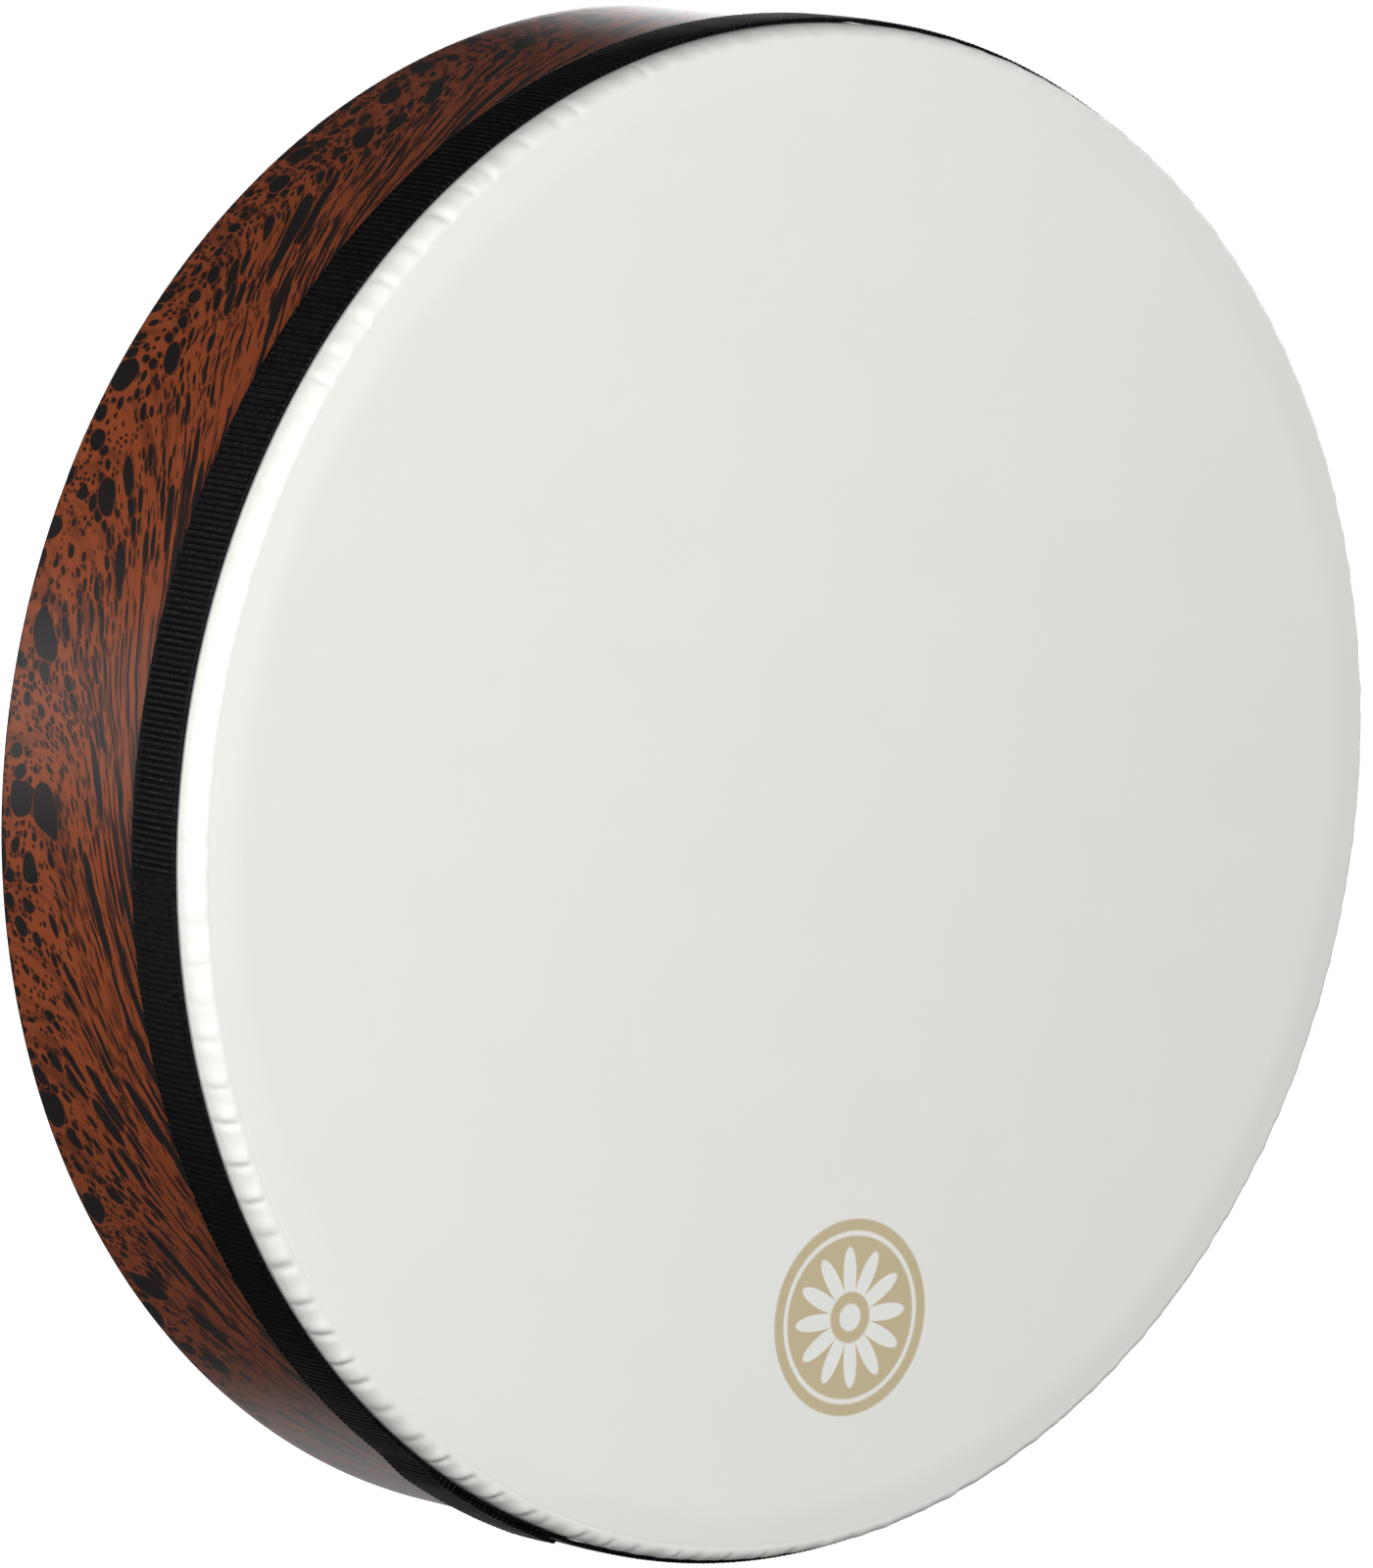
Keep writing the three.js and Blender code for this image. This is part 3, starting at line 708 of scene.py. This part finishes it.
class DRUM_OT_band(bpy.types.Operator):
    """Wrap the ribbed webbing round the head's edge, its outer end lapped over its beginning"""

    bl_idname = "drum.band"
    bl_label = "Webbing band"

    def execute(self, context):
        sizes, colours = context.scene.drum_sizes, context.scene.drum_colours
        thick = 1.45 * MM
        clear = 0.15 * MM  # between the lapped end and the beginning under it
        sweep = 2 * math.pi + LAP_SWEEP
        ribs = round(sweep * BAND_R / sizes.rib_pitch)
        per_rib = 8
        steps = ribs * per_rib + 1
        turn = np.linspace(0, sweep, steps)[:, None]
        angle = LAP_END - LAP_SWEEP + turn
        climb = np.clip((turn - (2 * math.pi - LAP_RAMP)) / LAP_RAMP, 0, 1)
        lift = (thick + clear) * climb * climb * (3 - 2 * climb)
        # Underneath, the webbing is pressed down until it meets its own beginning.
        last_part = LAP_RAMP / 16
        step = np.clip((turn - (2 * math.pi - last_part)) / last_part, 0, 1)
        width = BAND_D1 - BAND_D0
        middle = (BAND_D0 + BAND_D1) / 2
        # Across the webbing: a flat inside and a slightly crowned outside with a firm selvedge at each edge.
        # Each row, from an edge in: its place, its height, and how much of the ribs it shows.
        half = np.array([
            (0.5, 0.35, 0.2), (0.495, 0.62, 0.35), (0.48, 0.84, 0.5), (0.45, 0.9, 0.35), (0.42, 0.83, 0.8),
            (0.36, 0.92, 1), (0.24, 0.98, 1), (0.12, 1, 1),
        ])
        places, tall, ribbed = np.concatenate([half * (-1, 1, 1), [(0, 1, 1)], half[::-1]]).T
        chance = np.random.default_rng(7)
        sway = np.interp(turn[:, 0], np.linspace(0, sweep, 90), chance.normal(0, 0.12, 90))[:, None]
        each = np.repeat(chance.uniform(0.75, 1.1, ribs), per_rib)
        each = np.append(each, each[-1])[:, None]
        skew = 0.25 * sway * places
        rib = np.abs(np.sin(np.pi * (np.arange(steps)[:, None] / per_rib + skew))) ** 0.8
        outer = BAND_R - sizes.rib_height * ribbed * (1 - rib * each) - thick * (1 - tall)
        outer = outer + lift
        edge_wave = 0.1 * MM * (rib - 0.5) * np.sign(places) * (np.abs(places) > 0.47)
        # The webbing wanders a little from its line, and less where it climbs.
        drift = np.interp(turn[:, 0], np.linspace(0, sweep, 24), chance.normal(0, 0.6, 24))[:, None]
        drift = 0.25 * MM * drift * np.clip(1 - climb, 0.3, 1)
        most = 0.14 * MM
        drift = np.clip(drift, -most, most)
        woven_width = width * 0.985
        depth = middle + woven_width * places + edge_wave + drift
        inner_places = np.array([0.49, 0.25, 0, -0.25, -0.49])
        inner = BAND_R - thick + (thick + clear) * step + 0 * inner_places
        inner_depth = middle + woven_width * inner_places + 0 * turn
        points = np.concatenate([around(outer, angle, depth), around(inner, angle, inner_depth)], axis=1)
        rows = points.shape[1]
        faces = grid_faces(steps, rows, close_turns=False)
        faces += [tuple(range(rows)), tuple(range((steps - 1) * rows, steps * rows))]
        webbing = woven_webbing(sizes, colours)
        band = face_out(new_piece("webbing_band", points.reshape(-1, 3), faces, webbing))
        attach(band, "shell")
        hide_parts("edge_band")
        return {"FINISHED"}


class DRUM_OT_tuning_ring(bpy.types.Operator):
    """Turn the inner ring, with the rounded nose that the film bears on"""

    bl_idname = "drum.tuning_ring"
    bl_label = "Tuning ring"

    def execute(self, context):
        colours = context.scene.drum_colours
        nose = RING_WALL / 2
        inner = RING_R - RING_WALL
        edge = 0.8 * MM
        profile = (
            arc(inner + edge, RING_D0 + edge, edge, 180, 270, 4)
            + arc(RING_R - edge, RING_D0 + edge, edge, 270, 360, 4)
            + [(RING_R, (RING_D0 + RING_D1) / 2)]
            + arc(RING_R - nose, RING_D1 - nose, nose, 0, 180, 20)
            + [(inner, (RING_D0 + RING_D1) / 2)]
        )
        ring = turned("ring_hoop", profile, 480, lacquered_maple(colours))
        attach(ring, "tuning_ring")
        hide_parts("tuning_ring")
        return {"FINISHED"}


def cut_round(piece, radius, start, end):
    """Cuts a round hole along the line between two points out of a piece."""
    line = end - start
    work = bmesh.new()
    bmesh.ops.create_cone(work, cap_ends=True, segments=32, radius1=radius, radius2=radius, depth=line.length)
    mesh = bpy.data.meshes.new("drill")
    work.to_mesh(mesh)
    work.free()
    mesh.transform(Matrix.Translation((start + end) / 2) @ line.to_track_quat("Z", "Y").to_matrix().to_4x4())
    drill = bpy.data.objects.new("drill", mesh)
    bpy.context.scene.collection.objects.link(drill)
    cut = piece.modifiers.new("drill", "BOOLEAN")
    cut.operation = "DIFFERENCE"
    cut.solver = "EXACT"
    cut.object = drill
    bpy.context.view_layer.update()
    done = bpy.data.meshes.new_from_object(piece.evaluated_get(bpy.context.evaluated_depsgraph_get()))
    piece.modifiers.clear()
    piece.data = done
    bpy.data.objects.remove(drill)
    bpy.data.meshes.remove(mesh)


class DRUM_OT_lugs(bpy.types.Operator):
    """Cast the lugs that hold the tuning bolts, with their bores and screw holes"""

    bl_idname = "drum.lugs"
    bl_label = "Tuning lugs"

    def execute(self, context):
        colours = context.scene.drum_colours
        wall = SHELL_R - SHELL_WALL - 0.05 * MM
        ear = wall - EAR_THICKNESS
        half_span, half_body, inner = 17 * MM, 6.5 * MM, 209.4 * MM
        corner, fillet, edge = 2.5 * MM, 2 * MM, 0.7 * MM
        screw_hole_r = 1.7 * MM
        # The outline in radius and tangent, on the +X side: a curved back, two ears and a body.
        back = [(math.sqrt(wall**2 - t**2), t) for t in np.linspace(-half_span, half_span, 13)]
        side = [
            (ear, half_span), (ear, half_body + fillet), (ear - fillet, half_body),
            (inner + corner, half_body), (inner, half_body - corner),
        ]
        outline = back + side + [(r, -t) for r, t in reversed(side)]
        work = bmesh.new()
        foot = [work.verts.new((r, BACK_Y - LUG_D0, t)) for r, t in outline]
        face = work.faces.new(foot)
        top = bmesh.ops.extrude_face_region(work, geom=[face])["geom"]
        bmesh.ops.translate(
            work, vec=(0, LUG_D0 - LUG_D1, 0), verts=[v for v in top if isinstance(v, bmesh.types.BMVert)]
        )
        bmesh.ops.recalc_face_normals(work, faces=work.faces)
        sharp = [e for e in work.edges if e.calc_face_angle(0) > math.radians(30)]
        bmesh.ops.bevel(
            work, geom=sharp, offset=edge, segments=3, profile=0.5, affect="EDGES", clamp_overlap=True
        )
        mesh = bpy.data.meshes.new("lug_casting")
        work.to_mesh(mesh)
        work.free()
        pattern = bpy.data.objects.new("lug_casting", mesh)
        bpy.context.scene.collection.objects.link(pattern)
        bore = Vector((BOLT_CIRCLE_R, 0, 0))
        reach = Vector((0, 1, 0))
        cut_round(pattern, BOLT_R + CLEARANCE, bore - reach, bore + reach)
        for hand in (-1, 1):
            hole = Vector((0, BACK_Y - SCREW_D, hand * SCREW_OFFSET))
            cut_round(pattern, screw_hole_r, hole + Vector((0.2, 0, 0)), hole + Vector((0.24, 0, 0)))
        material = powder_coated_casting(colours)
        for number, angle in enumerate(bolt_angles, 1):
            lug = bpy.data.objects.new(f"lug_casting_{number}", pattern.data.copy())
            bpy.context.scene.collection.objects.link(lug)
            lug.data.transform(station(angle))
            lug.data.materials.clear()
            lug.data.materials.append(material)
            lug.data.polygons.foreach_set("use_smooth", [True] * len(lug.data.polygons))
            face_out(lug)
            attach(lug, "shell")
            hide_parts(f"tuning_lug_{number}")
        bpy.data.objects.remove(pattern)
        return {"FINISHED"}


def shaped_socket(outline, rings):
    """Radii from a shaped hole to the round outside; rings are (share of the outline, radius, height)."""
    share, radius, height = np.array(rings).T
    return share * outline + (1 - share) * radius, height


def hexagon(across_flats, angle):
    """The radius of a hexagon at each angle."""
    return across_flats / 2 / np.cos((angle + math.pi / 6) % (math.pi / 3) - math.pi / 6)


def cross_recess(long, wide, angle):
    """The radius of a cross with rounded inner corners at each angle."""
    quarter = (angle + math.pi / 4) % (math.pi / 2) - math.pi / 4
    arm = wide / 2 / np.maximum(np.abs(np.sin(quarter)), 1e-6)
    inner_corner = wide / 2 * math.sqrt(2) * 0.9
    return np.minimum(long, np.maximum(arm, inner_corner))


class DRUM_OT_bolts(bpy.types.Operator):
    """Make the tuning bolts, with their threads and hex sockets, and the nylon cups on their tips"""

    bl_idname = "drum.bolts"
    bl_label = "Tuning bolts and cups"

    def execute(self, context):
        colours = context.scene.drum_colours
        steel, nylon = zinc_plated_steel(colours), moulded_nylon(colours)
        turns = 48
        angle = all_round(turns)
        head_end = BOLT_D0 + BOLT_HEAD_L
        socket_end = BOLT_D0 + 2.5 * MM
        head, head_depth = shaped_socket(hexagon(4 * MM, angle), [
            (1, 0, socket_end), (1, 0, BOLT_D0 + 0.25 * MM), (0.55, 2.9 * MM, BOLT_D0),
            (0, BOLT_HEAD_R - 0.5 * MM, BOLT_D0), (0, BOLT_HEAD_R - 0.14 * MM, BOLT_D0 + 0.14 * MM),
            (0, BOLT_HEAD_R, BOLT_D0 + 0.5 * MM), (0, BOLT_HEAD_R, head_end - 0.2 * MM),
            (0, BOLT_HEAD_R - 0.2 * MM, head_end), (0, BOLT_R, head_end),
        ])
        # The thread is one ridge that climbs a pitch each turn and runs out before the tip.
        rows_per_turn = 8
        thread_depth = 0.46 * MM
        rows = int((BOLT_D1 - head_end - 1.2 * MM) / BOLT_PITCH * rows_per_turn)
        along = head_end + 0.6 * MM + np.arange(rows) / rows_per_turn * BOLT_PITCH
        phase = (along / BOLT_PITCH - angle / (2 * math.pi)) % 1
        ridge = np.clip(1.15 - 2.3 * np.abs(phase - 0.5), 0, 1)
        fade = np.clip((BOLT_D1 - 0.9 * MM - along) / (1.0 * MM), 0.0, 1)
        thread = BOLT_R - thread_depth * (1 - ridge * fade)
        tip = np.full((turns, 1), BOLT_R - 0.8 * MM)
        radius = np.concatenate([head, thread, tip], axis=1)
        depth = np.concatenate([head_depth, along, [BOLT_D1]])
        total = len(depth)
        for number, joint in enumerate(bolt_joints, 1):
            at = Vector(joint["pos_m"])
            points = around(radius, angle, depth, at).reshape(-1, 3).tolist()
            faces = grid_faces(turns, total, close_rows=False)
            for row, end in ((0, socket_end), (total - 1, BOLT_D1)):
                close_end(points, faces, (at.x, BACK_Y - end, at.z), row, total, turns)
            bolt = face_out(new_piece(f"socket_bolt_{number}", points, faces, steel))
            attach(bolt, f"tuning_bolt_{number}")
            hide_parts(f"tuning_bolt_{number}")

            outer, bore, edge, chamfer = RING_WALL / 2, BOLT_R + CLEARANCE, 0.5 * MM, 0.25 * MM
            bore_end = BOLT_D1 + CLEARANCE
            profile = (
                [(0, CUP_D1)]
                + arc(outer - edge, CUP_D1 - edge, edge, 90, 0, 4)
                + arc(outer - edge, CUP_D0 + edge, edge, 0, -90, 4)
                + [(bore + chamfer, CUP_D0), (bore, CUP_D0 + chamfer), (bore, bore_end), (0, bore_end)]
            )
            cup = spun(f"nylon_cup_{number}", profile, at, 40, nylon)
            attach(cup, f"thrust_cup_{number}")
            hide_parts(f"thrust_cup_{number}")
        return {"FINISHED"}


class DRUM_OT_screws(bpy.types.Operator):
    """Make the pan-head screws that hold the lugs, with their cross recesses"""

    bl_idname = "drum.screws"
    bl_label = "Lug screws"

    def execute(self, context):
        steel = bpy.data.materials["zinc_plated_steel"]
        turns = 48
        angle = all_round(turns)
        shank_r = 1.4 * MM
        seat = SHELL_R - SHELL_WALL - EAR_THICKNESS - 0.35 * MM
        top = seat - SCREW_HEAD_L
        tip = SHELL_R - SHELL_WALL + 5.4 * MM
        recess_floor = seat - 0.5 * MM
        # Heights here are distances from the drum's axis, so the head's top has the lowest.
        radius, reach = shaped_socket(cross_recess(1.75 * MM, 0.8 * MM, angle), [
            (0.3, 0, recess_floor), (0.8, 0, top + 0.5 * MM), (1, 0, top + 0.05 * MM), (0.5, 2.2 * MM, top),
            (0, 2.0 * MM, seat - 0.93 * SCREW_HEAD_L), (0, 2.6 * MM, seat - 0.66 * SCREW_HEAD_L),
            (0, SCREW_HEAD_R, seat - 0.3 * SCREW_HEAD_L), (0, SCREW_HEAD_R, seat), (0, shank_r, seat),
            (0, shank_r, tip - 1.5 * MM),
        ])
        rows = len(reach)
        deep = BACK_Y - SCREW_D + radius * np.cos(angle)
        for number, place in enumerate(bolt_angles, 1):
            for letter, hand in (("a", -1), ("b", 1)):
                up = hand * SCREW_OFFSET
                points = np.stack([reach + 0 * deep, deep, up + radius * np.sin(angle)], axis=-1)
                points = points.reshape(-1, 3).tolist()
                faces = grid_faces(turns, rows, close_rows=False)
                for row, end in ((0, recess_floor), (rows - 1, tip)):
                    close_end(points, faces, (end, BACK_Y - SCREW_D, up), row, rows, turns)
                screw = new_piece(f"wood_screw_{number}{letter}", points, faces, steel)
                screw.data.transform(station(place))
                face_out(screw)
                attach(screw, "shell")
                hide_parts(f"lug_screw_{number}{letter}")
        return {"FINISHED"}


def towards(azimuth, elevation):
    """The direction from the drum at an azimuth from the front of its head, and an elevation."""
    level = math.cos(elevation)
    return Vector((math.sin(azimuth) * level, -math.cos(azimuth) * level, math.sin(elevation)))


class DRUM_OT_stage(bpy.types.Operator):
    """Lay the pale floor, hang the lights and set up the camera"""

    bl_idname = "drum.stage"
    bl_label = "Stage"

    def execute(self, context):
        colours = context.scene.drum_colours
        scene = context.scene
        half = 20
        corners = [(-half, -half, 0), (half, -half, 0), (half, half, 0), (-half, half, 0)]
        floor = new_piece("floor", corners, [(0, 1, 2, 3)], light_table(colours))
        floor.visible_diffuse = False
        floor.visible_glossy = False
        floor.visible_shadow = False

        # The room is white to look at and dim as a light, so that the dark finishes stay deep.
        world = bpy.data.worlds.new("studio_room")
        world.use_nodes = True
        tree = world.node_tree
        seen = add_node(tree, "LightPath", out="Is Camera Ray")
        as_light, as_background = 0.09, 1.15
        strength = add_node(tree, "MapRange", seen, 0.0, 1.0, as_light, as_background)
        fill(tree.nodes["Background"], Color=(1, 1, 1), Strength=strength)
        scene.world = world
        scene.view_settings.view_transform = "Standard"

        middle = Vector((0, 0, AXIS_Z))

        def softbox(name, azimuth, elevation, distance, width, height, power):
            """A soft light aimed at the drum; azimuth 0 is in front of the head."""
            away = towards(math.radians(azimuth), math.radians(elevation))
            lamp = bpy.data.lights.new(name, "AREA")
            lamp.shape = "RECTANGLE"
            lamp.size, lamp.size_y, lamp.energy = width, height, power
            box = bpy.data.objects.new(name, lamp)
            box.location = middle + away * distance
            box.rotation_euler = away.to_track_quat("Z", "Y").to_euler()
            box.visible_camera = False
            scene.collection.objects.link(box)

        softbox("key_softbox", -26, 12, 3.0, 1.6, 1.6, 95)
        softbox("side_softbox", -98, 8, 0.8, 0.2, 0.75, 2.9)
        softbox("rim_softbox", -134, 6, 1.0, 0.16, 0.3, 0.45)
        softbox("far_softbox", 100, 12, 1.6, 0.9, 1.2, 12)
        softbox("back_softbox", 150, 0, 2.4, 1.2, 1.2, 32)
        softbox("table_lamp", 155, -42, 0.6, 0.35, 0.35, 0.25)

        # The camera looks at the drum from the front left and a little above, from far off.
        azimuth, elevation = math.radians(-40.47), math.radians(8.97)
        unit = SHELL_R
        distance, across, above = 18.05 * unit, -0.0152 * unit, -0.0066 * unit
        aim = Vector((0, BACK_Y - 0.2 * unit, AXIS_Z))
        back = towards(azimuth, elevation)
        right = Vector((math.cos(azimuth), math.sin(azimuth), 0))
        up = back.cross(right)
        lens = bpy.data.cameras.new("camera")
        lens.sensor_width = 36
        lens.lens = 316.9
        lens.clip_start, lens.clip_end = 0.1, 60
        camera = bpy.data.objects.new("camera", lens)
        turn = Matrix((right, up, back)).transposed().to_4x4()
        place = aim + back * distance + right * across + up * above
        camera.matrix_world = Matrix.Translation(place) @ turn
        scene.collection.objects.link(camera)
        scene.camera = camera
        return {"FINISHED"}


class DRUM_PT_panel(bpy.types.Panel):
    """Lists the drum's pieces in the order that they are made"""

    bl_idname = "DRUM_PT_panel"
    bl_label = "Frame drum"
    bl_space_type = "VIEW_3D"
    bl_region_type = "UI"
    bl_category = "Frame drum"

    def draw(self, context):
        for operator in OPERATORS:
            self.layout.operator(operator.bl_idname)
        for group in (context.scene.drum_sizes, context.scene.drum_colours):
            column = self.layout.column(align=True)
            for name in group.__annotations__:
                column.prop(group, name)


OPERATORS = (
    DRUM_OT_stage, DRUM_OT_shell, DRUM_OT_head, DRUM_OT_band,
    DRUM_OT_tuning_ring, DRUM_OT_lugs, DRUM_OT_bolts, DRUM_OT_screws,
)
CLASSES = (DrumSizes, DrumColours, *OPERATORS, DRUM_PT_panel)


def register():
    for each in CLASSES:
        bpy.utils.register_class(each)
    bpy.types.Scene.drum_sizes = PointerProperty(type=DrumSizes)
    bpy.types.Scene.drum_colours = PointerProperty(type=DrumColours)


def unregister():
    del bpy.types.Scene.drum_colours
    del bpy.types.Scene.drum_sizes
    for each in reversed(CLASSES):
        bpy.utils.unregister_class(each)


def main():
    register()
    for operator in OPERATORS:
        group, name = operator.bl_idname.split(".")
        getattr(getattr(bpy.ops, group), name)()
    bpy.context.view_layer.update()


if __name__ == "__main__":
    main()
